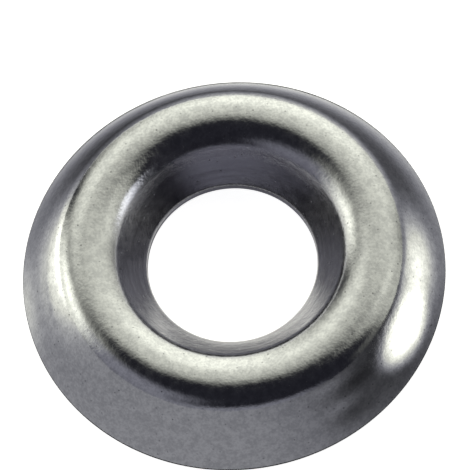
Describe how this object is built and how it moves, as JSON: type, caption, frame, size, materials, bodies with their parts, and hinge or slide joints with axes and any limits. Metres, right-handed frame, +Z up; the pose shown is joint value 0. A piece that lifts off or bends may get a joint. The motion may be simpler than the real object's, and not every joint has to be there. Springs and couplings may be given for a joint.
{
  "type": "finishing cup washer",
  "caption": "Pressed stainless steel cup washer: a domed ring with a hollow underside and a countersunk seat, which spreads the load of a countersunk screw's head.",
  "frame": {"origin": "on the ring's axis, in the plane of the base that the rim stands on", "axes": "+Z up along the ring's axis, towards the crest and the screw's head; X and Y are free, because the ring is round"},
  "size_m": [0.018, 0.018, 0.0033],
  "materials": {
    "stainless_sheet": "tumbled stainless sheet, fairly bright, with fine draw lines on the seat and small pits"
  },
  "bodies": {
    "root": {"cup_washer": "stainless_sheet"}
  },
  "joints": []
}
